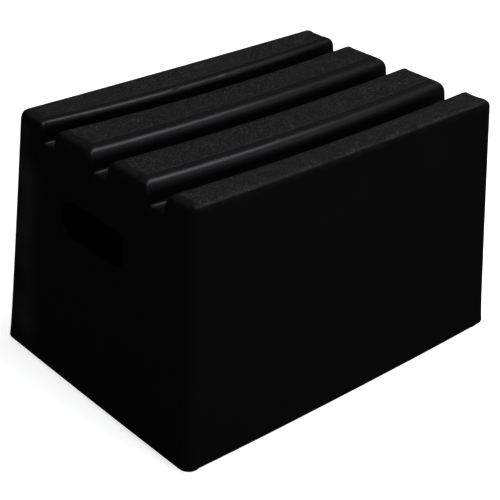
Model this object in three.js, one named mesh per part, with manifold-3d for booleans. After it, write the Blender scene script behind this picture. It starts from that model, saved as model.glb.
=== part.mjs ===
// One-step mounting block: a hollow, double-walled moulded body on four screwed rubber feet.
// Millimetres. +X runs along the treads, +Y to the back, +Z up. The floor is z = 0.
import * as THREE from 'three';
import { ConvexGeometry } from 'three/addons/geometries/ConvexGeometry.js';
import { mergeVertices } from 'three/addons/utils/BufferGeometryUtils.js';
import Module from 'manifold-3d';

const wasm = await Module();
wasm.setup();

// Overall sizes: the body tapers in by the same slope on opposite sides.
const FOOT_HEIGHT = 5;
const OVERALL_HEIGHT = 305;
const BASE_LENGTH = 496;
const BASE_WIDTH = 353;
const TOP_LENGTH = 453;
const TOP_WIDTH = 305;
const CORNER_RADIUS = 12;

// Treads and the drain grooves between them.
const TREAD_COUNT = 4;
const GROOVE_TOP_WIDTH = 29.5;
const GROOVE_FLOOR_WIDTH = 24;
const GROOVE_DEPTH = 26;
const MIDDLE_TREAD_WIDTH = 65.5;
const TREAD_ROLL_RADIUS = 12;
const TREAD_CORNER_RADIUS = 10;
const FLOOR_LIP_RADIUS = 8;
const TREAD_STEP = 0.1;

// Walls of the moulding, and the space that is open underneath.
const WALL = 5;
const RIM_WIDTH = 36;
const CAVITY_TOP = 252;
const CAVITY_CORNER_RADIUS = 24;
const CAVITY_ROLL_RADIUS = 18;
const HOLLOW_CORNER_RADIUS = 8;
const BASE_ROLL_RADIUS = 4;

// Hand-holds, one in each end wall.
const HAND_HOLD_LENGTH = 112;
const HAND_HOLD_HEIGHT = 42;
const HAND_HOLD_CENTRE_Y = 10;
const HAND_HOLD_CENTRE_Z = 211;
const HAND_HOLD_CORNER_RADIUS = 14;
const HAND_HOLD_LIP = 4;

// Feet and their fixings, stacked upwards from the floor at each corner.
const CLEARANCE = 0.3;
const FOOT_INSET = 19;
const FOOT_TOP_RADIUS = 14;
const FOOT_BOTTOM_RADIUS = 12.5;
const FOOT_EDGE = 1;
const SEAT_DEPTH = 3;
const SCREW_RECESS_RADIUS = 7.2;
const SCREW_RECESS_DEPTH = 4.6;
const SHANK_HOLE_RADIUS = 2.8;
const WASHER_RADIUS = 6.5;
const WASHER_THICKNESS = 1;
const SCREW_HEAD_RADIUS = 4.75;
const SCREW_HEAD_HEIGHT = 2.1;
const SCREW_SHANK_RADIUS = 2.4;
const SCREW_LENGTH = 15;
const SCREW_SOCKET_RADIUS = 1.6;
const SCREW_SOCKET_DEPTH = 1.2;
const INSERT_RADIUS = 4.4;
const INSERT_GROOVE = 0.6;
const INSERT_LENGTH = 13;
const INSERT_BORE_RADIUS = 2.75;
const BOSS_RADIUS = 11;
const BOSS_TOP = 28;

// Vent of the closed hollow, and the plug pressed into it from below.
const VENT_RADIUS = 5;
const PLUG_HEAD_RADIUS = 8;
const PLUG_HEAD_HEIGHT = 1.8;
const PLUG_BARB = 0.9;
const PLUG_STEM_LENGTH = 9;

const CORNER_STEPS = 5;
const ROLL_STEPS = 4;
const ROUND_STEPS = 20;
const OVERRUN = 10;

const RIM_Z = FOOT_HEIGHT;
const SHELL_HEIGHT = OVERALL_HEIGHT - RIM_Z;
const GROOVE_FLOOR_Z = OVERALL_HEIGHT - GROOVE_DEPTH;
const SEAT_Z = RIM_Z + SEAT_DEPTH;
const TREAD_PITCH = MIDDLE_TREAD_WIDTH + GROOVE_TOP_WIDTH;
const END_SLOPE = (BASE_LENGTH - TOP_LENGTH) / 2 / SHELL_HEIGHT;
const SIDE_SLOPE = (BASE_WIDTH - TOP_WIDTH) / 2 / SHELL_HEIGHT;

const halfLengthAt = (z) => TOP_LENGTH / 2 + END_SLOPE * (OVERALL_HEIGHT - z);
const halfWidthAt = (z) => TOP_WIDTH / 2 + SIDE_SLOPE * (OVERALL_HEIGHT - z);

// ---- Solids and booleans ----

function toSolid(geometry) {
  geometry.deleteAttribute('normal');
  geometry.deleteAttribute('uv');
  const merged = mergeVertices(geometry);
  return new wasm.Manifold(new wasm.Mesh({
    numProp: 3,
    vertProperties: new Float32Array(merged.attributes.position.array),
    triVerts: new Uint32Array(merged.index.array),
  }));
}

function toGeometry(solid) {
  const mesh = solid.getMesh();
  const geometry = new THREE.BufferGeometry();
  geometry.setAttribute('position', new THREE.BufferAttribute(mesh.vertProperties, mesh.numProp));
  geometry.setIndex(new THREE.BufferAttribute(mesh.triVerts, 1));
  geometry.computeVertexNormals();
  return geometry;
}

const hull = (points) => toSolid(new ConvexGeometry(points));

const joined = (solids) => solids.reduce((whole, solid) => whole.add(solid));

const cutBy = (solid, cutters) => cutters.reduce((rest, cutter) => rest.subtract(cutter), solid);

// A level ring of points: a rectangle with rounded corners.
function ring({ halfLength, lowY, highY, radius }, z) {
  const points = [];
  const corners = [
    [halfLength - radius, highY - radius],
    [radius - halfLength, highY - radius],
    [radius - halfLength, lowY + radius],
    [halfLength - radius, lowY + radius],
  ];
  corners.forEach(([x, y], quarter) => {
    for (let step = 0; step <= CORNER_STEPS; step += 1) {
      const angle = (quarter + step / CORNER_STEPS) * Math.PI / 2;
      points.push(new THREE.Vector3(x + radius * Math.cos(angle), y + radius * Math.sin(angle), z));
    }
  });
  return points;
}

function shrink({ halfLength, lowY, highY, radius }, inset, smallestRadius = 1) {
  return {
    halfLength: halfLength - inset,
    lowY: lowY + inset,
    highY: highY - inset,
    radius: Math.max(radius - inset, smallestRadius),
  };
}

// A tapering block with a rolled top edge. outlineAt(z) gives its level outline.
function rolledBlock(outlineAt, bottom, top, roll, bottomRoll = 0) {
  const points = [];
  for (let step = 0; step <= ROLL_STEPS; step += 1) {
    const angle = step / ROLL_STEPS * Math.PI / 2;
    const z = top - roll * (1 - Math.sin(angle));
    points.push(...ring(shrink(outlineAt(z), roll * (1 - Math.cos(angle))), z));
  }
  points.push(...ring(outlineAt(bottom + bottomRoll), bottom + bottomRoll));
  if (bottomRoll > 0) {
    points.push(...ring(shrink(outlineAt(bottom), bottomRoll), bottom));
  }
  return hull(points);
}

function turned(profile) {
  const shape = profile.map(([radius, z]) => new THREE.Vector2(radius, z));
  return new THREE.LatheGeometry(shape, ROUND_STEPS).rotateX(Math.PI / 2);
}

const rod = (radius, bottom, top) => turned([[0, bottom], [radius, bottom], [radius, top], [0, top]]);

const placed = (solid, [x, y]) => solid.translate([x, y, 0]);

// ---- Body ----

const outerOutline = (z) => ({
  halfLength: halfLengthAt(z),
  lowY: -halfWidthAt(z),
  highY: halfWidthAt(z),
  radius: CORNER_RADIUS,
});

// Groove walls lean, so a tread is wider at the groove floor than at its top.
function treadOutline(index, z) {
  const lean = (GROOVE_TOP_WIDTH - GROOVE_FLOOR_WIDTH) / 2 * (OVERALL_HEIGHT - z) / GROOVE_DEPTH;
  const centre = (index - (TREAD_COUNT - 1) / 2) * TREAD_PITCH;
  const isFirst = index === 0;
  const isLast = index === TREAD_COUNT - 1;
  return {
    halfLength: halfLengthAt(z),
    lowY: isFirst ? -halfWidthAt(z) : centre - MIDDLE_TREAD_WIDTH / 2 - lean,
    highY: isLast ? halfWidthAt(z) : centre + MIDDLE_TREAD_WIDTH / 2 + lean,
    radius: TREAD_CORNER_RADIUS,
  };
}

// The outer skin's solid, or with an inset the hollow inside it. The treads' ends stand a hair
// inside the wall below, so that no two faces lie in one plane.
function outerForm(inset) {
  const outline = (z) => shrink(outerOutline(z), inset, HOLLOW_CORNER_RADIUS);
  const floorTop = GROOVE_FLOOR_Z - inset;
  const bottom = RIM_Z + inset;
  const block = rolledBlock(outline, bottom, floorTop, FLOOR_LIP_RADIUS, BASE_ROLL_RADIUS);
  const treads = [];
  for (let index = 0; index < TREAD_COUNT; index += 1) {
    const treadAt = (z) => shrink(treadOutline(index, z), inset + TREAD_STEP);
    const buried = floorTop - 2 * FLOOR_LIP_RADIUS;
    treads.push(rolledBlock(treadAt, buried, OVERALL_HEIGHT - inset, TREAD_ROLL_RADIUS - inset));
  }
  return joined([block, ...treads]);
}

// The space open underneath, or with an outset the inner skin's far side.
function cavityForm(outset, bottom) {
  const outline = (z) => shrink({
    halfLength: halfLengthAt(RIM_Z) - RIM_WIDTH - END_SLOPE * (z - RIM_Z),
    lowY: RIM_WIDTH - halfWidthAt(RIM_Z) + SIDE_SLOPE * (z - RIM_Z),
    highY: halfWidthAt(RIM_Z) - RIM_WIDTH - SIDE_SLOPE * (z - RIM_Z),
    radius: CAVITY_CORNER_RADIUS,
  }, -outset);
  return rolledBlock(outline, bottom, CAVITY_TOP + outset, CAVITY_ROLL_RADIUS);
}

// A tunnel through both skins of one end wall. The flare is the rolled lip at its outer mouth.
function handHold(end, outset, flare) {
  const halfHeight = HAND_HOLD_HEIGHT / 2 + outset;
  const radius = HAND_HOLD_CORNER_RADIUS + outset;
  const section = (spread, distance) => {
    const outline = shrink({
      halfLength: halfHeight,
      lowY: HAND_HOLD_CENTRE_Y - HAND_HOLD_LENGTH / 2 - outset,
      highY: HAND_HOLD_CENTRE_Y + HAND_HOLD_LENGTH / 2 + outset,
      radius,
    }, -spread);
    return ring(outline, 0).map(({ x, y }) => {
      const z = HAND_HOLD_CENTRE_Z + x;
      return new THREE.Vector3(end * (halfLengthAt(z) + distance), y, z);
    });
  };
  const tunnel = hull([...section(0, -RIM_WIDTH - OVERRUN), ...section(0, 0)]);
  const mouth = hull([...section(0, -flare - 1), ...section(flare, 0), ...section(flare, OVERRUN)]);
  return tunnel.add(mouth);
}

const footPlaces = [];
for (const [side, sideY] of [['front', -1], ['back', 1]]) {
  for (const [end, endX] of [['left', -1], ['right', 1]]) {
    const x = endX * (halfLengthAt(RIM_Z) - FOOT_INSET);
    const y = sideY * (halfWidthAt(RIM_Z) - FOOT_INSET);
    footPlaces.push({ label: `${side}_${end}`, at: [x, y] });
  }
}

function bodyGeometry() {
  const bossBottom = RIM_Z - OVERRUN;
  const boss = toSolid(rod(BOSS_RADIUS, bossBottom, BOSS_TOP));
  const seat = toSolid(rod(FOOT_TOP_RADIUS + CLEARANCE, bossBottom, SEAT_Z));
  const insertHole = toSolid(rod(INSERT_RADIUS + CLEARANCE, bossBottom, SEAT_Z + INSERT_LENGTH + CLEARANCE));
  const vent = toSolid(rod(VENT_RADIUS, CAVITY_TOP - OVERRUN, CAVITY_TOP + WALL + OVERRUN));
  const bosses = footPlaces.map(({ at }) => placed(boss, at));
  const ends = [-1, 1];
  const tunnelWalls = ends.map((end) => handHold(end, WALL, 0));
  const hollow = cutBy(outerForm(WALL), [cavityForm(WALL, bossBottom), ...tunnelWalls, ...bosses]);
  const tunnels = ends.map((end) => handHold(end, 0, HAND_HOLD_LIP));
  const seats = footPlaces.map(({ at }) => placed(seat, at));
  const insertHoles = footPlaces.map(({ at }) => placed(insertHole, at));
  const cuts = [cavityForm(0, bossBottom), hollow, ...tunnels, ...seats, ...insertHoles];
  return toGeometry(cutBy(outerForm(0), [...cuts, vent]));
}

// ---- Feet and fixings, each turned about its own vertical axis ----

function footGeometry() {
  const top = SEAT_Z - CLEARANCE;
  return turned([
    [SHANK_HOLE_RADIUS, SCREW_RECESS_DEPTH],
    [SCREW_RECESS_RADIUS, SCREW_RECESS_DEPTH],
    [SCREW_RECESS_RADIUS, 0],
    [FOOT_BOTTOM_RADIUS - FOOT_EDGE, 0],
    [FOOT_BOTTOM_RADIUS, FOOT_EDGE],
    [FOOT_TOP_RADIUS, RIM_Z],
    [FOOT_TOP_RADIUS, top],
    [SHANK_HOLE_RADIUS, top],
    [SHANK_HOLE_RADIUS, SCREW_RECESS_DEPTH],
  ]);
}

const WASHER_TOP = SCREW_RECESS_DEPTH - CLEARANCE;
const HEAD_TOP = WASHER_TOP - WASHER_THICKNESS - CLEARANCE;
const HEAD_BOTTOM = HEAD_TOP - SCREW_HEAD_HEIGHT;

function washerGeometry() {
  const bottom = WASHER_TOP - WASHER_THICKNESS;
  return turned([
    [SHANK_HOLE_RADIUS, bottom],
    [WASHER_RADIUS, bottom],
    [WASHER_RADIUS, WASHER_TOP],
    [SHANK_HOLE_RADIUS, WASHER_TOP],
    [SHANK_HOLE_RADIUS, bottom],
  ]);
}

function screwGeometry() {
  const edge = SCREW_HEAD_HEIGHT / 3;
  const tip = SCREW_SHANK_RADIUS / 3;
  const end = HEAD_TOP + SCREW_LENGTH;
  return turned([
    [0, HEAD_BOTTOM + SCREW_SOCKET_DEPTH],
    [SCREW_SOCKET_RADIUS, HEAD_BOTTOM + SCREW_SOCKET_DEPTH],
    [SCREW_SOCKET_RADIUS, HEAD_BOTTOM],
    [SCREW_HEAD_RADIUS - 2 * edge, HEAD_BOTTOM],
    [SCREW_HEAD_RADIUS, HEAD_BOTTOM + edge],
    [SCREW_HEAD_RADIUS, HEAD_TOP],
    [SCREW_SHANK_RADIUS, HEAD_TOP],
    [SCREW_SHANK_RADIUS, end - tip],
    [SCREW_SHANK_RADIUS - tip, end],
    [0, end],
  ]);
}

// A threaded bush with a waist, closed at its upper end, that the plastic is moulded around.
function insertGeometry() {
  const waist = INSERT_RADIUS - INSERT_GROOVE;
  const top = SEAT_Z + INSERT_LENGTH;
  const third = INSERT_LENGTH / 3;
  return turned([
    [INSERT_BORE_RADIUS, SEAT_Z],
    [INSERT_RADIUS, SEAT_Z],
    [INSERT_RADIUS, SEAT_Z + third],
    [waist, SEAT_Z + third],
    [waist, top - third],
    [INSERT_RADIUS, top - third],
    [INSERT_RADIUS, top],
    [0, top],
    [0, top - 1],
    [INSERT_BORE_RADIUS, top - 1],
    [INSERT_BORE_RADIUS, SEAT_Z],
  ]);
}

function plugGeometry() {
  const headTop = CAVITY_TOP - CLEARANCE;
  const stem = VENT_RADIUS - CLEARANCE;
  const barbBottom = CAVITY_TOP + WALL + CLEARANCE;
  return turned([
    [0, headTop - PLUG_HEAD_HEIGHT],
    [PLUG_HEAD_RADIUS - 1, headTop - PLUG_HEAD_HEIGHT],
    [PLUG_HEAD_RADIUS, headTop - 1],
    [PLUG_HEAD_RADIUS, headTop],
    [stem, headTop],
    [stem, barbBottom],
    [stem + PLUG_BARB, barbBottom],
    [stem - PLUG_BARB, headTop + PLUG_STEM_LENGTH],
    [0, headTop + PLUG_STEM_LENGTH],
  ]);
}

// ---- Assembly ----

const material = (color, roughness, metalness = 0) => (
  new THREE.MeshStandardMaterial({ color, roughness, metalness }));

function named(name, geometry, finish, [x, y] = [0, 0]) {
  const mesh = new THREE.Mesh(geometry, finish);
  mesh.name = name;
  mesh.position.set(x, y, 0);
  return mesh;
}

const block = new THREE.Group();
block.add(named('body_shell', bodyGeometry(), material('#161719', 0.5)));
block.add(named('vent_plug', plugGeometry(), material('#0e0e0f', 0.6)));
for (const { label, at } of footPlaces) {
  block.add(named(`foot_${label}`, footGeometry(), material('#101010', 0.9), at));
  block.add(named(`foot_washer_${label}`, washerGeometry(), material('#b4b6b8', 0.35, 1), at));
  block.add(named(`foot_screw_${label}`, screwGeometry(), material('#9a9c9f', 0.3, 1), at));
  block.add(named(`threaded_insert_${label}`, insertGeometry(), material('#b08d4a', 0.35, 1), at));
}

export default block;
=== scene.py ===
"""A one-step mounting block in black moulded polyethylene, dressed for rendering. Metres, +Z up.

The body is modelled as a field of distances, negative inside the plastic, whose rounded joins and cuts
give the soft rolls of a rotational moulding. body_mesh() lays a fine mesh on the field's zero surface.
"""

import math

import bmesh
import bpy
import numpy as np
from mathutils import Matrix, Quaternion, Vector


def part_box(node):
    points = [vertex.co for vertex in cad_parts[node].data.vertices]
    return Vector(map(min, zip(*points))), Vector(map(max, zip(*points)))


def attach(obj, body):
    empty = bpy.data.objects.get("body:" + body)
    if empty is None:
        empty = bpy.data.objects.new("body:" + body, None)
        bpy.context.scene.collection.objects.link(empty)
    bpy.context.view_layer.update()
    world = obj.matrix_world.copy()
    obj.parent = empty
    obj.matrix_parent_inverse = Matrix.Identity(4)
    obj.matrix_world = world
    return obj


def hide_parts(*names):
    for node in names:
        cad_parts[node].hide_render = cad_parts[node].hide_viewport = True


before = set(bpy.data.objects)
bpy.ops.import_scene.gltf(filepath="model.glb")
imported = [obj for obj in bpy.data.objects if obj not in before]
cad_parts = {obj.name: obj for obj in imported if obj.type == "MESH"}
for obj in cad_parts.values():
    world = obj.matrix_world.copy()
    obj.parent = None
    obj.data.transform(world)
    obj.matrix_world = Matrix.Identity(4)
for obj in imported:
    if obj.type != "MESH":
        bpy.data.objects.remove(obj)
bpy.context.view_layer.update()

MM = 0.001
CORNERS = ("front_left", "front_right", "back_left", "back_right")

# ---- Driving sizes of the body ----

SHELL_LOW, SHELL_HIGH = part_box("body_shell")
RIM_Z = SHELL_LOW[2]
TOP_Z = SHELL_HIGH[2]
SHELL_HEIGHT = TOP_Z - RIM_Z
BASE_HALF_LENGTH = SHELL_HIGH[0]
BASE_HALF_WIDTH = SHELL_HIGH[1]
TOP_HALF_LENGTH = 226.5 * MM
TOP_HALF_WIDTH = 152.5 * MM
CORNER_RADIUS = 12 * MM
BASE_ROLL = 3.5 * MM

GROOVE_DEPTH = 26 * MM
GROOVE_PITCH = 95 * MM
GROOVE_TOP_HALF = 14.75 * MM
GROOVE_FLOOR_HALF = 12 * MM
GROOVE_FILLET = 5 * MM
FRONT_ROLL = 16 * MM
BACK_TREAD_FRONT_ROLL = 9 * MM
BACK_TREAD_REACH = 2.5 * MM
BACK_ROLL = 10 * MM
SIDE_ROLL = 8 * MM
END_ROLL = 14 * MM
ROLL_BLEND = 16 * MM
TREAD_CORNER = 5 * MM
FLOOR_LIP = 7 * MM

# How the cooled moulding differs from its mould: flared foot, bowed walls and sagging treads. Each
# pair is how far a tread's front and back edges sag at mid-length, in millimetres, front tread first.
FLARE = 0.8 * MM
FLARE_HEIGHT = 14 * MM
WALL_DISH = 0.3 * MM
SIDE_BULGE = 2 * MM
END_BULGE = 1 * MM
RIM_SAG = 1.5 * MM
TREAD_SAGS = ((1.2, 5.4), (5.6, 5.9), (4.4, 6.5), (7.3, 0.4))

RIM_WIDTH = 36 * MM
CAVITY_TOP = 252 * MM
CAVITY_CORNER = 24 * MM
CAVITY_ROLL = 18 * MM
CAVITY_RIM_ROLL = 4 * MM

HOLD_HALF_LENGTH = 56 * MM
HOLD_HALF_HEIGHT = 21 * MM
HOLD_CENTRE_Y = 10 * MM
HOLD_CENTRE_Z = 211 * MM
HOLD_CORNER = 14 * MM
HOLD_LIP = 5 * MM


# ---- Field algebra ----


def round_cut(a, b, radius):
    """The overlap of two fields, with the edge between them rolled to a radius."""
    corner = np.hypot(np.maximum(a + radius, 0), np.maximum(b + radius, 0))
    return np.minimum(np.maximum(a, b), -radius) + corner


def round_join(a, b, radius):
    """The union of two fields, with a fillet of that radius between them."""
    return -round_cut(-a, -b, radius)


def ease(t):
    """0 to 1 with a soft start and end."""
    t = np.clip(t, 0, 1)
    return t * t * (3 - 2 * t)


# ---- The body's field ----


def height_share(z):
    return np.clip((z - RIM_Z) / SHELL_HEIGHT, 0, 1)


def wall_offset(z):
    """How far the walls stand in from the straight taper: dished halfway up, flared at the base."""
    share = height_share(z)
    flare = 1 - np.exp(-np.maximum(z - RIM_Z, 0) / FLARE_HEIGHT)
    return -WALL_DISH * 4 * share * (1 - share) - FLARE * flare * (1 - share)


def end_field(x, y, z):
    half = BASE_HALF_LENGTH + (TOP_HALF_LENGTH - BASE_HALF_LENGTH) * height_share(z)
    bulge = -END_BULGE * np.minimum((y / BASE_HALF_WIDTH) ** 2, 1) * (1 - height_share(z))
    return np.abs(x) - half - wall_offset(z) - bulge


def side_field(x, y, z):
    half = BASE_HALF_WIDTH + (TOP_HALF_WIDTH - BASE_HALF_WIDTH) * height_share(z)
    bulge = -SIDE_BULGE * np.minimum((x / BASE_HALF_LENGTH) ** 2, 1) * (1 - height_share(z))
    return np.abs(y) - half - wall_offset(z) - bulge


def sag(x, y):
    """How far the top has sunk, which is most at mid-length."""
    gaps = np.array([-1, 0, 1]) * GROOVE_PITCH
    fronts = [-TOP_HALF_WIDTH, *(gaps + GROOVE_TOP_HALF)]
    backs = [*(gaps - GROOVE_TOP_HALF), TOP_HALF_WIDTH]
    edges = np.stack([fronts, backs], axis=1).ravel()
    along = np.maximum(1 - (x / TOP_HALF_LENGTH) ** 2, 0)
    return along * np.interp(y, edges, np.ravel(TREAD_SAGS)) * MM


def groove_field(y, z):
    """Positive inside a groove, and the side of its centre that a point is on. The back tread reaches
    a little further forward than the others."""
    middle = GROOVE_PITCH * np.clip(np.round(y / GROOVE_PITCH), -1, 1)
    lean = (GROOVE_TOP_HALF - GROOVE_FLOOR_HALF) / GROOVE_DEPTH
    half = GROOVE_TOP_HALF - lean * (TOP_Z - z) - np.where(y > GROOVE_PITCH, BACK_TREAD_REACH, 0)
    return half - np.abs(y - middle), y - middle


def tread_roll(y, groove, side, ends, sides):
    """The radius of a tread's top edge, which differs at its front, back, ends and outer side."""
    front = np.where(y > GROOVE_PITCH, BACK_TREAD_FRONT_ROLL, FRONT_ROLL)
    roll = np.where(side > 0, front, BACK_ROLL)
    roll = roll + (END_ROLL - roll) * ease((ends - np.maximum(groove, sides)) / ROLL_BLEND + 0.5)
    return roll + (SIDE_ROLL - roll) * ease((sides - np.maximum(groove, ends)) / ROLL_BLEND + 0.5)


def outer_field(x, y, z):
    """The outer skin: a block up to the groove floor, with the treads standing on it."""
    ends = end_field(x, y, z)
    sides = side_field(x, y, z)
    walls = round_cut(ends, sides, CORNER_RADIUS)
    above = z - TOP_Z + sag(x, y)
    groove, side = groove_field(y, z)
    outline = round_cut(groove, walls, TREAD_CORNER)
    treads = round_cut(outline, above, tread_roll(y, groove, side, ends, sides))
    block = round_cut(walls, above + GROOVE_DEPTH, FLOOR_LIP)
    return round_join(block, treads, GROOVE_FILLET * ease(-walls / FLOOR_LIP))


def cavity_field(x, y, z):
    """The space open underneath."""
    taper = (z - RIM_Z) / SHELL_HEIGHT
    half_length = BASE_HALF_LENGTH - RIM_WIDTH + (TOP_HALF_LENGTH - BASE_HALF_LENGTH) * taper
    half_width = BASE_HALF_WIDTH - RIM_WIDTH + (TOP_HALF_WIDTH - BASE_HALF_WIDTH) * taper
    walls = round_cut(np.abs(x) - half_length, np.abs(y) - half_width, CAVITY_CORNER)
    return round_cut(walls, z - CAVITY_TOP, CAVITY_ROLL)


def hand_hold_field(y, z):
    """A tunnel along X through both end walls."""
    across = np.abs(y - HOLD_CENTRE_Y) - HOLD_HALF_LENGTH
    up = np.abs(z - HOLD_CENTRE_Z) - HOLD_HALF_HEIGHT
    return round_cut(across, up, HOLD_CORNER)


def body_field(x, y, z):
    hollowed = round_cut(outer_field(x, y, z), -cavity_field(x, y, z), CAVITY_RIM_ROLL)
    rim = RIM_Z - RIM_SAG * np.maximum(1 - (x / BASE_HALF_LENGTH) ** 2, 0)
    based = round_cut(hollowed, rim - z, BASE_ROLL)
    return round_cut(based, -hand_hold_field(y, z), HOLD_LIP)


# ---- Meshing the field ----

# The grid has fine steps round the rolled edges and openings, and coarse steps between them.
GRID_MARGIN = 3 * MM
END_SPAN = 42 * MM
SIDE_SPAN = 38 * MM
BASE_SPAN = 12 * MM
GROOVE_FLOOR_SPAN = 12 * MM
END_STEP = 2.3 * MM
FINE_STEP = 2.1 * MM
COARSE_STEP = 8 * MM
COARSE_STEP_ACROSS = 7 * MM


def graded(low, high, fine_spans, fine, coarse):
    """Grid positions from low to high: fine steps inside the spans, and coarse steps between them."""
    edges = [low] + [edge for span in fine_spans for edge in span] + [high]
    lines = [low]
    for index, (start, end) in enumerate(zip(edges, edges[1:])):
        step = fine if index % 2 else coarse
        count = max(int(math.ceil((end - start) / step)), 1)
        lines.extend(start + (end - start) * (k + 1) / count for k in range(count))
    return np.array(lines)


def body_grid():
    """The grid's lines along X, Y and Z."""
    end = BASE_HALF_LENGTH + GRID_MARGIN
    side = BASE_HALF_WIDTH + GRID_MARGIN
    inner_end = BASE_HALF_LENGTH - END_SPAN
    inner_side = BASE_HALF_WIDTH - SIDE_SPAN
    groove = GROOVE_TOP_HALF + FRONT_ROLL
    grooves = [(k * GROOVE_PITCH - groove, k * GROOVE_PITCH + groove) for k in (-1, 0, 1)]
    hold = HOLD_HALF_HEIGHT + HOLD_LIP
    bottom = RIM_Z - GRID_MARGIN
    top = TOP_Z + GRID_MARGIN
    levels = [
        (bottom, RIM_Z + BASE_SPAN),
        (HOLD_CENTRE_Z - hold, HOLD_CENTRE_Z + hold),
        (TOP_Z - GROOVE_DEPTH - GROOVE_FLOOR_SPAN, top),
    ]
    ends = [(-end, -inner_end), (inner_end, end)]
    sides = [(-side, -inner_side), *grooves, (inner_side, side)]
    xs = graded(-end, end, ends, END_STEP, COARSE_STEP)
    ys = graded(-side, side, sides, FINE_STEP, COARSE_STEP_ACROSS)
    zs = graded(bottom, top, levels, FINE_STEP, COARSE_STEP)
    return tuple(np.unique(np.round(lines, 6)) for lines in (xs, ys, zs))


SLOPE_STEP = 0.05 * MM
LEAST_SLOPE_SQUARED = 0.05
PULL_ROUNDS = 6


def field_slope(points):
    """The field's value and gradient at each point."""
    slopes = []
    for axis in range(3):
        shift = np.zeros(3)
        shift[axis] = SLOPE_STEP
        ahead = body_field(*(points + shift).T)
        behind = body_field(*(points - shift).T)
        slopes.append((ahead - behind) / (2 * SLOPE_STEP))
    return body_field(*points.T), np.stack(slopes, axis=1)


def pull_to_surface(points):
    for _ in range(PULL_ROUNDS):
        value, slope = field_slope(points)
        steepness = np.maximum((slope**2).sum(1), LEAST_SLOPE_SQUARED)
        points = points - slope * (value / steepness)[:, None]
    return points


def surface_net(lines):
    """One vertex in each grid cell that the surface crosses, and one quad for each crossed grid edge."""
    grid = np.meshgrid(*lines, indexing="ij")
    inside = body_field(*grid) < 0
    cells = tuple(size - 1 for size in inside.shape)
    corners = np.zeros(cells, int)
    for dx in (0, 1):
        for dy in (0, 1):
            for dz in (0, 1):
                corners += inside[dx : dx + cells[0], dy : dy + cells[1], dz : dz + cells[2]]
    crossed = (corners > 0) & (corners < 8)
    number = np.full(cells, -1)
    number[crossed] = np.arange(crossed.sum())
    where = np.argwhere(crossed)
    centres = [(line[1:] + line[:-1]) / 2 for line in lines]
    points = np.stack([centres[axis][where[:, axis]] for axis in range(3)], axis=1)
    quads = []
    for axis in range(3):
        first, second = [other for other in range(3) if other != axis]
        ahead = np.take(inside, range(1, inside.shape[axis]), axis)
        behind = np.take(inside, range(inside.shape[axis] - 1), axis)
        for leaving in (True, False):
            edges = np.argwhere((behind & ~ahead) if leaving else (ahead & ~behind))
            around = []
            for back_first, back_second in ((1, 1), (0, 1), (0, 0), (1, 0)):
                cell = edges.copy()
                cell[:, first] -= back_first
                cell[:, second] -= back_second
                around.append(number[tuple(cell.T)])
            quad = np.stack(around, axis=1)
            quads.append(quad if leaving != (axis == 1) else quad[:, ::-1])
    return points, np.concatenate(quads)


def body_mesh():
    points, quads = surface_net(body_grid())
    points = pull_to_surface(points)
    mesh = bpy.data.meshes.new("body")
    mesh.from_pydata(points.tolist(), [], quads.tolist())
    mesh.validate()
    return mesh


# ---- Mesh helpers ----


def link(name, mesh):
    piece = bpy.data.objects.new(name, mesh)
    bpy.context.collection.objects.link(piece)
    return piece


def turned(name, profile, centre, segments=64, ripple=None):
    """A profile of (radius, height) points turned about a vertical axis at centre. A ripple of
    (count, depth, radius) knurls the points at that radius."""
    shape = bmesh.new()
    rings = []
    for radius, height in profile:
        if radius == 0:
            rings.append([shape.verts.new((*centre, height))])
            continue
        ring = []
        for step in range(segments):
            angle = 2 * math.pi * step / segments
            reach = radius
            if ripple and ripple[2] == radius:
                reach += ripple[1] * math.cos(ripple[0] * angle)
            across = centre[0] + reach * math.cos(angle)
            ring.append(shape.verts.new((across, centre[1] + reach * math.sin(angle), height)))
        rings.append(ring)
    closed = profile[0][0] > 0 and profile[-1][0] > 0
    pairs = list(zip(rings, rings[1:] + rings[:1])) if closed else list(zip(rings, rings[1:]))
    for low, high in pairs:
        for step in range(segments):
            after = (step + 1) % segments
            corners = [low[step % len(low)], low[after % len(low)]]
            corners += [high[after % len(high)], high[step % len(high)]]
            shape.faces.new(list(dict.fromkeys(corners)))
    bmesh.ops.recalc_face_normals(shape, faces=shape.faces)
    mesh = bpy.data.meshes.new(name)
    shape.to_mesh(mesh)
    shape.free()
    return mesh


def applied(piece):
    """The piece's mesh with its modifiers worked in."""
    depsgraph = bpy.context.evaluated_depsgraph_get()
    mesh = bpy.data.meshes.new_from_object(piece.evaluated_get(depsgraph))
    piece.modifiers.clear()
    piece.data = mesh
    return piece


def cut(piece, cutter_mesh):
    cutter = link("cutter", cutter_mesh)
    boolean = piece.modifiers.new("cut", "BOOLEAN")
    boolean.operation = "DIFFERENCE"
    boolean.solver = "EXACT"
    boolean.object = cutter
    applied(piece)
    bpy.data.objects.remove(cutter)


def softened(piece, width, angle=math.radians(35)):
    """Small rounds along the edges, and smooth shading up to that angle."""
    bevel = piece.modifiers.new("rounds", "BEVEL")
    bevel.width = width
    bevel.segments = 3
    bevel.limit_method = "ANGLE"
    bevel.angle_limit = angle
    bevel.use_clamp_overlap = True
    applied(piece)
    smoothed(piece, angle)


def smoothed(piece, angle=math.radians(40)):
    piece.data.shade_smooth()
    piece.data.set_sharp_from_angle(angle=angle)


# ---- Fixings, each sized from its CAD node ----

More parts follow.
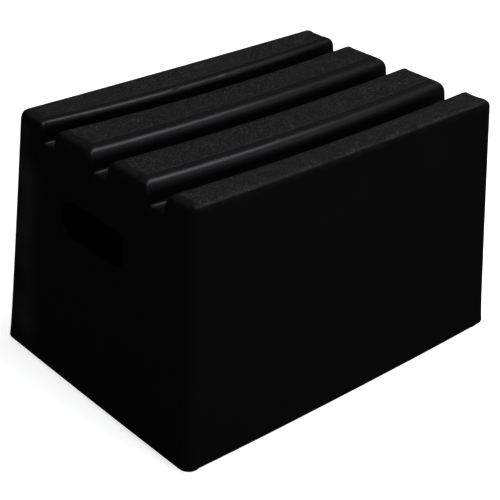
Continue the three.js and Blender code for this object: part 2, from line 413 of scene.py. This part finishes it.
SEAT_CLEARANCE = 0.3 * MM
FOOT_EDGE = 0.8 * MM
FOOT_LIP = 1.5 * MM
FOOT_RING = 0.5 * MM
FOOT_RING_SPACING = 1.3 * MM
RECESS_RADIUS = 7.2 * MM
RECESS_TOP = 4.6 * MM
SHANK_HOLE = 2.8 * MM
INSERT_BORE = 2.75 * MM
SOCKET_RADIUS = 1.6 * MM
SOCKET_DEPTH = 1.2 * MM
HEAD_HEIGHT = 2.1 * MM
HEAD_CURVE = ((0.72, 0), (0.93, 0.22), (1, 0.55))  # shares of the head's radius and height
PLAIN_SHANK = 4 * MM
SHANK_RADIUS = 2.4 * MM
THREAD_PITCH = 0.8 * MM
THREAD_DEPTH = 0.45 * MM
KNURL = 0.2 * MM
INSERT_EDGE = 0.4 * MM
VENT_RADIUS = 5 * MM
PLUG_HEAD_HEIGHT = 1.8 * MM
PLUG_CURVE = ((0.5, 0.12), (0.85, 0.5), (1, 1.1))  # share of the radius, and height in millimetres
PLUG_GROOVE_DEPTH = 0.6 * MM
PLUG_BARB_EDGE = 0.2 * MM


def node_size(node):
    """Centre, radius and height span of an upright round node."""
    low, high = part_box(node)
    centre = ((low[0] + high[0]) / 2, (low[1] + high[1]) / 2)
    return centre, (high[1] - low[1]) / 2, low[2], high[2]


def finished(piece, node, material):
    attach(piece, "root")
    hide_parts(node)
    piece.data.materials.clear()
    piece.data.materials.append(material)
    return piece


def foot(corner, material):
    """A rubber foot with two fine rings moulded in its contact face."""
    node = f"foot_{corner}"
    centre, radius, low, high = node_size(node)
    tread = radius - FOOT_LIP
    middle = (RECESS_RADIUS + tread) / 2
    face = [(RECESS_RADIUS, low)]
    for groove in (middle - FOOT_RING_SPACING, middle + FOOT_RING_SPACING):
        face += [(groove - FOOT_RING, low), (groove, low + FOOT_RING), (groove + FOOT_RING, low)]
    profile = [
        (SHANK_HOLE, RECESS_TOP),
        (RECESS_RADIUS, RECESS_TOP),
        *face,
        (tread - FOOT_EDGE, low),
        (tread, low + FOOT_EDGE),
        (radius, RIM_Z),
        (radius, high),
        (SHANK_HOLE, high),
    ]
    piece = link(f"rubber_foot_{corner}", turned("foot", profile, centre))
    softened(piece, 0.3 * MM)
    return finished(piece, node, material)


def washer(corner, material):
    node = f"foot_washer_{corner}"
    centre, radius, low, high = node_size(node)
    profile = [(SHANK_HOLE, low), (radius, low), (radius, high), (SHANK_HOLE, high)]
    piece = link(f"steel_washer_{corner}", turned("washer", profile, centre))
    softened(piece, 0.15 * MM)
    return finished(piece, node, material)


def screw(corner, material):
    """A low pan head with a hexagon socket, and ring threads along the shank."""
    node = f"foot_screw_{corner}"
    centre, radius, low, high = node_size(node)
    head_top = low + HEAD_HEIGHT
    curve = [(radius * across, low + HEAD_HEIGHT * up) for across, up in HEAD_CURVE]
    profile = [(0, low), *curve, (radius, head_top), (SHANK_RADIUS, head_top)]
    plain_end = head_top + PLAIN_SHANK
    turns = int((high - plain_end - THREAD_PITCH) / THREAD_PITCH)
    for turn in range(turns):
        start = plain_end + turn * THREAD_PITCH
        profile.append((SHANK_RADIUS, start))
        profile.append((SHANK_RADIUS - THREAD_DEPTH, start + THREAD_PITCH / 2))
    profile += [(SHANK_RADIUS, high - THREAD_PITCH), (SHANK_RADIUS * 0.6, high), (0, high)]
    piece = link(f"socket_screw_{corner}", turned("screw", profile, centre))
    socket = [(0, low - MM), (SOCKET_RADIUS, low - MM)]
    socket += [(SOCKET_RADIUS, low + SOCKET_DEPTH), (0, low + SOCKET_DEPTH * 1.3)]
    cut(piece, turned("socket", socket, centre, segments=6))
    softened(piece, 0.08 * MM)
    return finished(piece, node, material)


def threaded_insert(corner, material):
    """A knurled brass bush, waisted so that the plastic grips it, and closed at the top."""
    node = f"threaded_insert_{corner}"
    centre, radius, low, high = node_size(node)
    grip = radius - KNURL
    waist = radius - 3 * KNURL
    third = (high - low) / 3
    edge = INSERT_EDGE
    profile = [(0, high), (radius - edge, high), (grip, high - edge), (grip, high - third)]
    profile += [(waist, high - third - edge), (waist, low + third + edge), (grip, low + third)]
    profile += [(grip, low + 2 * edge), (radius, low + edge), (radius, low)]
    profile += [(INSERT_BORE + edge, low), (INSERT_BORE, low + edge)]
    profile += [(INSERT_BORE, high - MM), (0, high - MM)]
    bush = turned("insert", profile, centre, segments=120, ripple=(24, KNURL, grip))
    piece = link(f"brass_insert_{corner}", bush)
    smoothed(piece)
    return finished(piece, node, material)


def vent_plug(material):
    """A push-in plug with a low domed head and two barbs."""
    centre, radius, low, high = node_size("vent_plug")
    head_top = low + PLUG_HEAD_HEIGHT
    stem = VENT_RADIUS - SEAT_CLEARANCE
    curve = [(radius * across, low + up * MM) for across, up in PLUG_CURVE]
    profile = [(0, low), *curve, (radius, head_top), (stem, head_top)]
    barb = (high - head_top) / 2
    for start in (head_top + barb * 0.6, head_top + barb * 1.2):
        profile += [(stem - PLUG_GROOVE_DEPTH, start), (stem, start + PLUG_BARB_EDGE)]
    profile += [(stem * 0.7, high), (0, high)]
    piece = link("push_in_plug", turned("plug", profile, centre))
    softened(piece, 0.2 * MM)
    return finished(piece, "vent_plug", material)


# ---- Materials ----


class Shade:
    """Builds a material's nodes. A value may be a number or another node's output."""

    def __init__(self, name):
        self.material = bpy.data.materials.new(name)
        self.material.use_nodes = True
        self.tree = self.material.node_tree
        self.shader = self.tree.nodes["Principled BSDF"]
        place = self.tree.nodes.new("ShaderNodeTexCoord").outputs["Object"]
        self.place = place
        self.x, self.y, self.z = self.node("SeparateXYZ", place).outputs

    def node(self, kind, *values, **settings):
        made = self.tree.nodes.new("ShaderNode" + kind)
        for key, value in settings.items():
            setattr(made, key, value)
        for socket, value in zip(made.inputs, values):
            self.put(socket, value)
        return made

    def put(self, socket, value):
        if isinstance(value, bpy.types.NodeSocket):
            self.tree.links.new(value, socket)
        elif value is not None:
            socket.default_value = value

    def maths(self, operation, *values):
        return self.node("Math", *values, operation=operation).outputs[0]

    def span(self, value, start, end):
        """0 at start and 1 at end, eased between them."""
        ramp = self.node("MapRange", value, start, end, 0.0, 1.0, interpolation_type="SMOOTHSTEP")
        return ramp.outputs[0]

    def noise(self, size, detail=3.0, roughness=0.5, stretch=None):
        """Noise about 0.5 whose features are about that size."""
        place = self.place
        if stretch:
            place = self.node("Mapping", place, None, None, stretch).outputs[0]
        made = self.node("TexNoise")
        self.put(made.inputs["Vector"], place)
        made.inputs["Scale"].default_value = 1 / size
        made.inputs["Detail"].default_value = detail
        made.inputs["Roughness"].default_value = roughness
        return made.outputs["Fac"]

    def pebbles(self, size):
        """Rounded grains of that size, 1 at their tops."""
        made = self.node("TexVoronoi", feature="SMOOTH_F1")
        self.put(made.inputs["Vector"], self.place)
        made.inputs["Scale"].default_value = 1 / size
        made.inputs["Smoothness"].default_value = 0.35
        return self.maths("SUBTRACT", 1.0, made.outputs["Distance"])

    def blend(self, share, low, high):
        """Colour between low and high."""
        mix = self.node("Mix", data_type="RGBA")
        self.put(mix.inputs["Factor"], share)
        self.put(mix.inputs["A"], low)
        self.put(mix.inputs["B"], high)
        return mix.outputs["Result"]

    def lerp(self, share, low, high):
        """Number between low and high."""
        mix = self.node("Mix", data_type="FLOAT")
        for socket, value in zip(mix.inputs[:1] + mix.inputs[2:4], (share, low, high)):
            self.put(socket, value)
        return mix.outputs["Result"]

    def bump(self, height):
        """Height is in metres."""
        made = self.node("Bump")
        made.inputs["Distance"].default_value = 1.0
        self.put(made.inputs["Height"], height)
        self.put(self.shader.inputs["Normal"], made.outputs["Normal"])

    def surface(self, color, roughness, metallic=0.0, specular=0.5):
        self.put(self.shader.inputs["Base Color"], color)
        self.put(self.shader.inputs["Roughness"], roughness)
        self.put(self.shader.inputs["Metallic"], metallic)
        self.put(self.shader.inputs["Specular IOR Level"], specular)


def grey(level, blue=0.0):
    return (level, level, level + blue, 1.0)


PANEL_FRONT = -16.5 * MM
PANEL_BACK = 31 * MM
PANEL_HALF_LENGTH = TOP_HALF_LENGTH - 11 * MM
PANEL_CORNER = 4 * MM


def panel_distance(shade):
    """Distance outside the grained panel of each tread, measured on its top."""
    count = shade.maths("FLOOR", shade.maths("DIVIDE", shade.y, GROOVE_PITCH))
    middle = shade.maths("MULTIPLY", shade.maths("ADD", count, 0.5), GROOVE_PITCH)
    across = shade.maths("SUBTRACT", shade.y, middle)
    on_back_tread = shade.maths("GREATER_THAN", shade.y, GROOVE_PITCH)
    back_shift = FRONT_ROLL - BACK_TREAD_FRONT_ROLL + BACK_TREAD_REACH
    across = shade.maths("MULTIPLY_ADD", on_back_tread, back_shift, across)
    centred = shade.maths("SUBTRACT", across, (PANEL_FRONT + PANEL_BACK) / 2)
    over_y = shade.maths("SUBTRACT", shade.maths("ABSOLUTE", centred), (PANEL_BACK - PANEL_FRONT) / 2)
    over_x = shade.maths("SUBTRACT", shade.maths("ABSOLUTE", shade.x), PANEL_HALF_LENGTH)
    round_y = shade.maths("MAXIMUM", shade.maths("ADD", over_y, PANEL_CORNER), 0.0)
    round_x = shade.maths("MAXIMUM", shade.maths("ADD", over_x, PANEL_CORNER), 0.0)
    squares = shade.maths("MULTIPLY_ADD", round_x, round_x, shade.maths("MULTIPLY", round_y, round_y))
    reach = shade.maths("SQRT", squares)
    flat = shade.maths("MINIMUM", shade.maths("MAXIMUM", over_x, over_y), -PANEL_CORNER)
    return shade.maths("ADD", reach, flat), across


def body_areas(shade):
    """Masks from 0 to 1 for the parts of the body that look different."""
    distance, across = panel_distance(shade)
    normal = shade.node("SeparateXYZ", shade.node("NewGeometry").outputs["Normal"])
    near_top = shade.span(shade.z, TOP_Z - 14 * MM, TOP_Z - 9 * MM)
    # on_top: upward faces near the top. The panel and its line lie on it, and the colour puts painted
    # light on it.
    on_top = shade.maths("MULTIPLY", near_top, shade.span(normal.outputs[2], 0.6, 0.92))
    ragged = shade.maths("MULTIPLY_ADD", shade.noise(5 * MM), 3 * MM, -1.5 * MM)
    edge_distance = shade.maths("ADD", distance, ragged)
    panel = shade.maths("MULTIPLY", shade.span(edge_distance, 0.6 * MM, -0.6 * MM), on_top)
    line = shade.span(shade.maths("ABSOLUTE", distance), 0.9 * MM, 0.0)
    line = shade.maths("MULTIPLY", line, on_top)

    # The treads' front rolls and the groove walls, short of the ends.
    roll_front = shade.span(across, PANEL_FRONT + 2 * MM, PANEL_FRONT - 1 * MM)
    groove_front = shade.span(across, PANEL_BACK + 1 * MM, PANEL_BACK + 4 * MM)
    from_middle = shade.maths("ABSOLUTE", shade.x)
    inboard = shade.span(from_middle, TOP_HALF_LENGTH - 2 * MM, TOP_HALF_LENGTH - 7 * MM)
    floor_z = TOP_Z - GROOVE_DEPTH
    above_floor = shade.span(shade.z, floor_z - 12 * MM, floor_z - 9 * MM)
    smooth = shade.maths("MULTIPLY", shade.maths("MAXIMUM", roll_front, groove_front), inboard)
    smooth = shade.maths("MULTIPLY", smooth, above_floor)

    # A painted reflection: a pale patch on the end walls beside the back corners. Scuffs along the top's
    # rolls.
    on_end = shade.span(shade.maths("ABSOLUTE", normal.outputs[0]), 0.9, 0.98)
    painted_reflection = shade.maths("MULTIPLY", on_end, shade.span(shade.y, 98 * MM, 130 * MM))
    painted_reflection = shade.maths("MULTIPLY", painted_reflection, shade.span(shade.noise(70 * MM, 3.0), 0.3, 0.7))
    edge = shade.node("Attribute", attribute_name="edge").outputs["Fac"]
    scuffs = shade.maths("MULTIPLY", edge, shade.span(shade.noise(14 * MM, 5.0, 0.6), 0.45, 0.7))
    depth = shade.node("Attribute", attribute_name="depth").outputs["Fac"]
    return {
        "on_top": on_top,
        "panel": panel,
        "line": line,
        "smooth": smooth,
        "painted_reflection": painted_reflection,
        "rubbed": shade.maths("MULTIPLY", scuffs, near_top),
        # outside falls to 0 deep below the outer skin, where painted shade is put.
        "outside": shade.span(depth, 12 * MM, 4 * MM),
    }


GRAIN_HEIGHT = 0.9 * MM
PANEL_HEIGHT = 0.15 * MM
LINE_HEIGHT = 0.12 * MM
WAVE_HEIGHT = 0.06 * MM
SKIN_HEIGHT = 0.006 * MM


def body_relief(shade, areas, grain):
    """The grained panels with a fine line round each, and the slight waves of the moulded skin."""
    height = shade.maths("MULTIPLY", shade.maths("MULTIPLY", grain, areas["panel"]), GRAIN_HEIGHT)
    height = shade.maths("MULTIPLY_ADD", areas["panel"], PANEL_HEIGHT, height)
    height = shade.maths("MULTIPLY_ADD", areas["line"], LINE_HEIGHT, height)
    height = shade.maths("MULTIPLY_ADD", shade.noise(14 * MM, 2.0), WAVE_HEIGHT, height)
    height = shade.maths("MULTIPLY_ADD", shade.noise(0.8 * MM, 2.0), SKIN_HEIGHT, height)
    shade.bump(height)


def body_color(shade, areas, grain, cloud):
    wall = shade.blend(cloud, grey(0.0013), grey(0.0018, 0.0001))
    # Painted reflection: a paler grey on the end walls beside the back corners.
    color = shade.blend(areas["painted_reflection"], wall, grey(0.007))
    # Painted light: upward faces near the top take a lighter grey than the walls, fading as they slope
    # away. The smooth rolls take a darker grey than the rest of the top.
    top = shade.blend(areas["smooth"], grey(0.0105, 0.0002), grey(0.004, 0.0001))
    color = shade.blend(areas["on_top"], color, top)
    mottle = shade.maths("ADD", grain, shade.noise(1.8 * MM, 2.0))
    mottle = shade.maths("MULTIPLY_ADD", shade.noise(12 * MM, 4.0, 0.6), 0.5, mottle)
    grained = shade.blend(shade.span(mottle, 1.28, 1.52), grey(0.0075), grey(0.0295, 0.0004))
    color = shade.blend(areas["panel"], color, grained)
    color = shade.blend(areas["rubbed"], color, grey(0.0035, 0.0001))
    # Painted shade: surfaces more than 4 to 12 mm below the outer skin, inside the hollow, fade to near
    # black.
    return shade.blend(areas["outside"], grey(0.0004), color)


def body_material():
    """Black polyethylene: grained tread panels, smooth front rolls and grooves, satin walls, a painted
    reflection on the end walls, painted light on the upward faces near the top, and painted shade on
    the surfaces inside, near black and less shiny."""
    shade = Shade("body_polyethylene")
    areas = body_areas(shade)
    fine = shade.maths("MULTIPLY", shade.pebbles(1.3 * MM), 0.35)
    grain = shade.maths("MULTIPLY_ADD", shade.pebbles(2.6 * MM), 0.65, fine)
    body_relief(shade, areas, grain)
    cloud = shade.noise(60 * MM, 4.0, 0.6)
    color = body_color(shade, areas, grain, cloud)
    roughness = shade.lerp(cloud, 0.42, 0.52)
    roughness = shade.lerp(areas["smooth"], roughness, 0.25)
    roughness = shade.lerp(areas["panel"], roughness, 0.55)
    specular = shade.lerp(areas["smooth"], shade.lerp(areas["panel"], 0.11, 0.3), 0.5)
    # The painted shade inside also has little shine.
    specular = shade.lerp(areas["outside"], 0.04, specular)
    shade.surface(color, roughness, specular=specular)
    return shade.material


def rubber_material():
    shade = Shade("foot_rubber")
    dust = shade.span(shade.noise(4 * MM, 5.0, 0.6), 0.45, 0.7)
    color = shade.blend(dust, grey(0.006), (0.028, 0.026, 0.023, 1.0))
    height = shade.maths("MULTIPLY", shade.noise(0.7 * MM, 4.0), 0.05 * MM)
    shade.bump(height)
    shade.surface(color, shade.lerp(dust, 0.75, 0.92), specular=0.3)
    return shade.material


def steel_material():
    """Zinc plating: bright, with soft spangle and dull spots."""
    shade = Shade("plated_steel")
    spangle = shade.noise(1.2 * MM, 4.0, 0.6)
    dull = shade.span(shade.noise(3 * MM, 5.0, 0.7), 0.5, 0.7)
    color = shade.blend(dull, (0.62, 0.64, 0.66, 1.0), (0.36, 0.35, 0.33, 1.0))
    shade.bump(shade.maths("MULTIPLY", spangle, 0.012 * MM))
    roughness = shade.lerp(spangle, 0.22, 0.4)
    shade.surface(color, shade.lerp(dull, roughness, 0.55), metallic=1.0)
    return shade.material


def brass_material():
    shade = Shade("insert_brass")
    tarnish = shade.span(shade.noise(2.5 * MM, 5.0, 0.6), 0.45, 0.75)
    color = shade.blend(tarnish, (0.72, 0.5, 0.2, 1.0), (0.33, 0.2, 0.08, 1.0))
    lines = shade.noise(0.5 * MM, 2.0, 0.5, stretch=(0.05, 0.05, 1.0))
    shade.bump(shade.maths("MULTIPLY", lines, 0.015 * MM))
    shade.surface(color, shade.lerp(tarnish, 0.25, 0.5), metallic=1.0)
    return shade.material


def plug_material():
    shade = Shade("plug_polyethylene")
    cloud = shade.noise(3 * MM, 4.0, 0.6)
    shade.bump(shade.maths("MULTIPLY", shade.noise(1.0 * MM, 3.0), 0.02 * MM))
    shade.surface(shade.blend(cloud, grey(0.004), grey(0.01)), shade.lerp(cloud, 0.35, 0.55))
    return shade.material


# ---- The body as a piece ----

BEND_STEP = 1.2 * MM
BEND_START = 25
BEND_RANGE = 60


def curvature(points):
    """Mean bend of the field: positive on outer rolls, and negative in fillets."""
    total = -6 * body_field(*points.T)
    for axis in range(3):
        shift = np.zeros(3)
        shift[axis] = BEND_STEP
        total += body_field(*(points + shift).T) + body_field(*(points - shift).T)
    return total / BEND_STEP**2


def mark_vertices(mesh):
    """Stores two attributes for the material: how strongly each vertex lies on an outer roll, from 0
    to 1, and its depth below the outer skin."""
    flat = np.empty(len(mesh.vertices) * 3)
    mesh.vertices.foreach_get("co", flat)
    points = flat.reshape(-1, 3)
    edge = ease((curvature(points) - BEND_START) / BEND_RANGE)
    marks = {"edge": edge, "depth": -outer_field(*points.T)}
    for name, values in marks.items():
        mesh.attributes.new(name, "FLOAT", "POINT").data.foreach_set("value", values)


CUT_MARGIN = 5 * MM


def body_piece(material):
    piece = link("moulded_body", body_mesh())
    for corner in CORNERS:
        centre, foot_radius, _, seat = node_size(f"foot_{corner}")
        insert_radius, insert_top = node_size(f"threaded_insert_{corner}")[1::2]
        below = RIM_Z - CUT_MARGIN
        hole = insert_radius + SEAT_CLEARANCE
        profile = [(0, below), (foot_radius + SEAT_CLEARANCE, below)]
        profile += [(foot_radius + SEAT_CLEARANCE, seat + SEAT_CLEARANCE)]
        profile += [(hole, seat + SEAT_CLEARANCE), (hole, insert_top + SEAT_CLEARANCE)]
        profile += [(0, insert_top + SEAT_CLEARANCE)]
        cut(piece, turned("seat", profile, centre, segments=72))
    centre, _, _, plug_top = node_size("vent_plug")
    below = CAVITY_TOP - CUT_MARGIN
    profile = [(0, below), (VENT_RADIUS, below), (VENT_RADIUS, plug_top + MM), (0, plug_top + MM)]
    cut(piece, turned("vent", profile, centre))
    mark_vertices(piece.data)
    smoothed(piece, math.radians(50))
    return finished(piece, "body_shell", material)


def build_pieces():
    body_piece(body_material())
    rubber = rubber_material()
    steel = steel_material()
    brass = brass_material()
    for corner in CORNERS:
        foot(corner, rubber)
        washer(corner, steel)
        screw(corner, steel)
        threaded_insert(corner, brass)
    vent_plug(plug_material())


# ---- Camera, floor and light ----

CAMERA_AZIMUTH = math.radians(41.15)
CAMERA_ELEVATION = math.radians(30.38)
CAMERA_ROLL = math.radians(1.63)
CAMERA_DISTANCE = 1513.1 * MM
CAMERA_TARGET = Vector((-61.2 * MM, 12.1 * MM, 96.8 * MM))
LENS = 91.29
LENS_SHIFT = (0.084, 0.05)


def place_camera():
    """A nearly level camera, its lens shifted a little because the picture is an off-centre crop."""
    level = math.cos(CAMERA_ELEVATION)
    sight = Vector((math.sin(CAMERA_AZIMUTH) * level, math.cos(CAMERA_AZIMUTH) * level, 0))
    sight.z = -math.sin(CAMERA_ELEVATION)
    camera = bpy.data.objects.new("camera", bpy.data.cameras.new("camera"))
    camera.data.lens = LENS
    camera.data.shift_x, camera.data.shift_y = LENS_SHIFT
    camera.location = CAMERA_TARGET - sight * CAMERA_DISTANCE
    level_turn = sight.to_track_quat("-Z", "Y")
    camera.rotation_euler = (level_turn @ Quaternion((0, 0, 1), CAMERA_ROLL)).to_euler()
    bpy.context.collection.objects.link(camera)
    bpy.context.scene.camera = camera


COOL_WHITE = (0.9, 0.91, 1.0)
NEUTRAL_WHITE = (1.0, 1.0, 1.0)


def softbox(name, toward, distance, size, power, in_reflections=True):
    """An area light facing the block. One that doesn't show in reflections is a plain fill."""
    light = bpy.data.lights.new(name, "AREA")
    light.shape = "RECTANGLE"
    light.size, light.size_y = size
    light.energy = power
    light.color = COOL_WHITE if in_reflections else NEUTRAL_WHITE
    lamp = bpy.data.objects.new(name, light)
    direction = Vector(toward).normalized()
    lamp.location = Vector((0, 0, SHELL_HEIGHT / 2)) + direction * distance
    lamp.rotation_euler = direction.to_track_quat("Z", "Y").to_euler()
    lamp.visible_glossy = in_reflections
    bpy.context.collection.objects.link(lamp)


def light_studio():
    """Cool softboxes, most of them up to the right, draw the highlights on the rolls. Fills light the
    treads and the front wall."""
    softbox("overhead", (-0.1, -0.3, 0.95), 1.6, (1.0, 0.8), 5)
    softbox("high_right", (0.43, -0.19, 0.88), 1.22, (0.3, 0.3), 0.74)
    softbox("wide_right", (0.67, -0.24, 0.7), 1.36, (0.35, 0.7), 0.22)
    softbox("low_right", (0.55, -0.5, 0.67), 1.26, (0.3, 0.4), 0.14)
    softbox("key_fill", (0.25, -0.2, 0.95), 2.4, (1.2, 1.0), 31, in_reflections=False)
    softbox("front_fill", (0.2, -0.93, 0.3), 2.2, (1.5, 1.0), 36, in_reflections=False)


# The room's grey at two heights of the line of sight, as sines above the horizon.
WORLD_LOW = (-0.3, 0.012)
WORLD_HIGH = (0.4, 0.06)


def surround():
    """A dim grey room, darker below than above."""
    world = bpy.data.worlds.new("studio")
    world.use_nodes = True
    tree = world.node_tree
    place = tree.nodes.new("ShaderNodeTexCoord")
    parts = tree.nodes.new("ShaderNodeSeparateXYZ")
    ramp = tree.nodes.new("ShaderNodeMapRange")
    for end, (height, level) in (("Min", WORLD_LOW), ("Max", WORLD_HIGH)):
        ramp.inputs[f"From {end}"].default_value = height
        ramp.inputs[f"To {end}"].default_value = level
    tree.links.new(place.outputs["Generated"], parts.inputs[0])
    tree.links.new(parts.outputs["Z"], ramp.inputs["Value"])
    tree.links.new(ramp.outputs[0], tree.nodes["Background"].inputs["Color"])
    bpy.context.scene.world = world
    bpy.context.scene.view_settings.view_transform = "Standard"


FLOOR_HALF_SIZE = 30
FLOOR_GLOW = 0.8


def lay_floor():
    """A pale floor that glows a little, kept out of reflections so that the plastic stays black."""
    shape = bmesh.new()
    bmesh.ops.create_grid(shape, x_segments=8, y_segments=8, size=FLOOR_HALF_SIZE)
    mesh = bpy.data.meshes.new("floor")
    shape.to_mesh(mesh)
    shape.free()
    floor = link("studio_floor", mesh)
    shade = Shade("floor_paint")
    mottle = shade.noise(0.4, 3.0)
    shade.surface(shade.blend(mottle, grey(0.84), grey(0.88)), 0.9, specular=0.2)
    shade.put(shade.shader.inputs["Emission Color"], grey(1.0))
    shade.put(shade.shader.inputs["Emission Strength"], FLOOR_GLOW)
    mesh.materials.append(shade.material)
    floor.visible_glossy = False


build_pieces()
place_camera()
light_studio()
surround()
lay_floor()
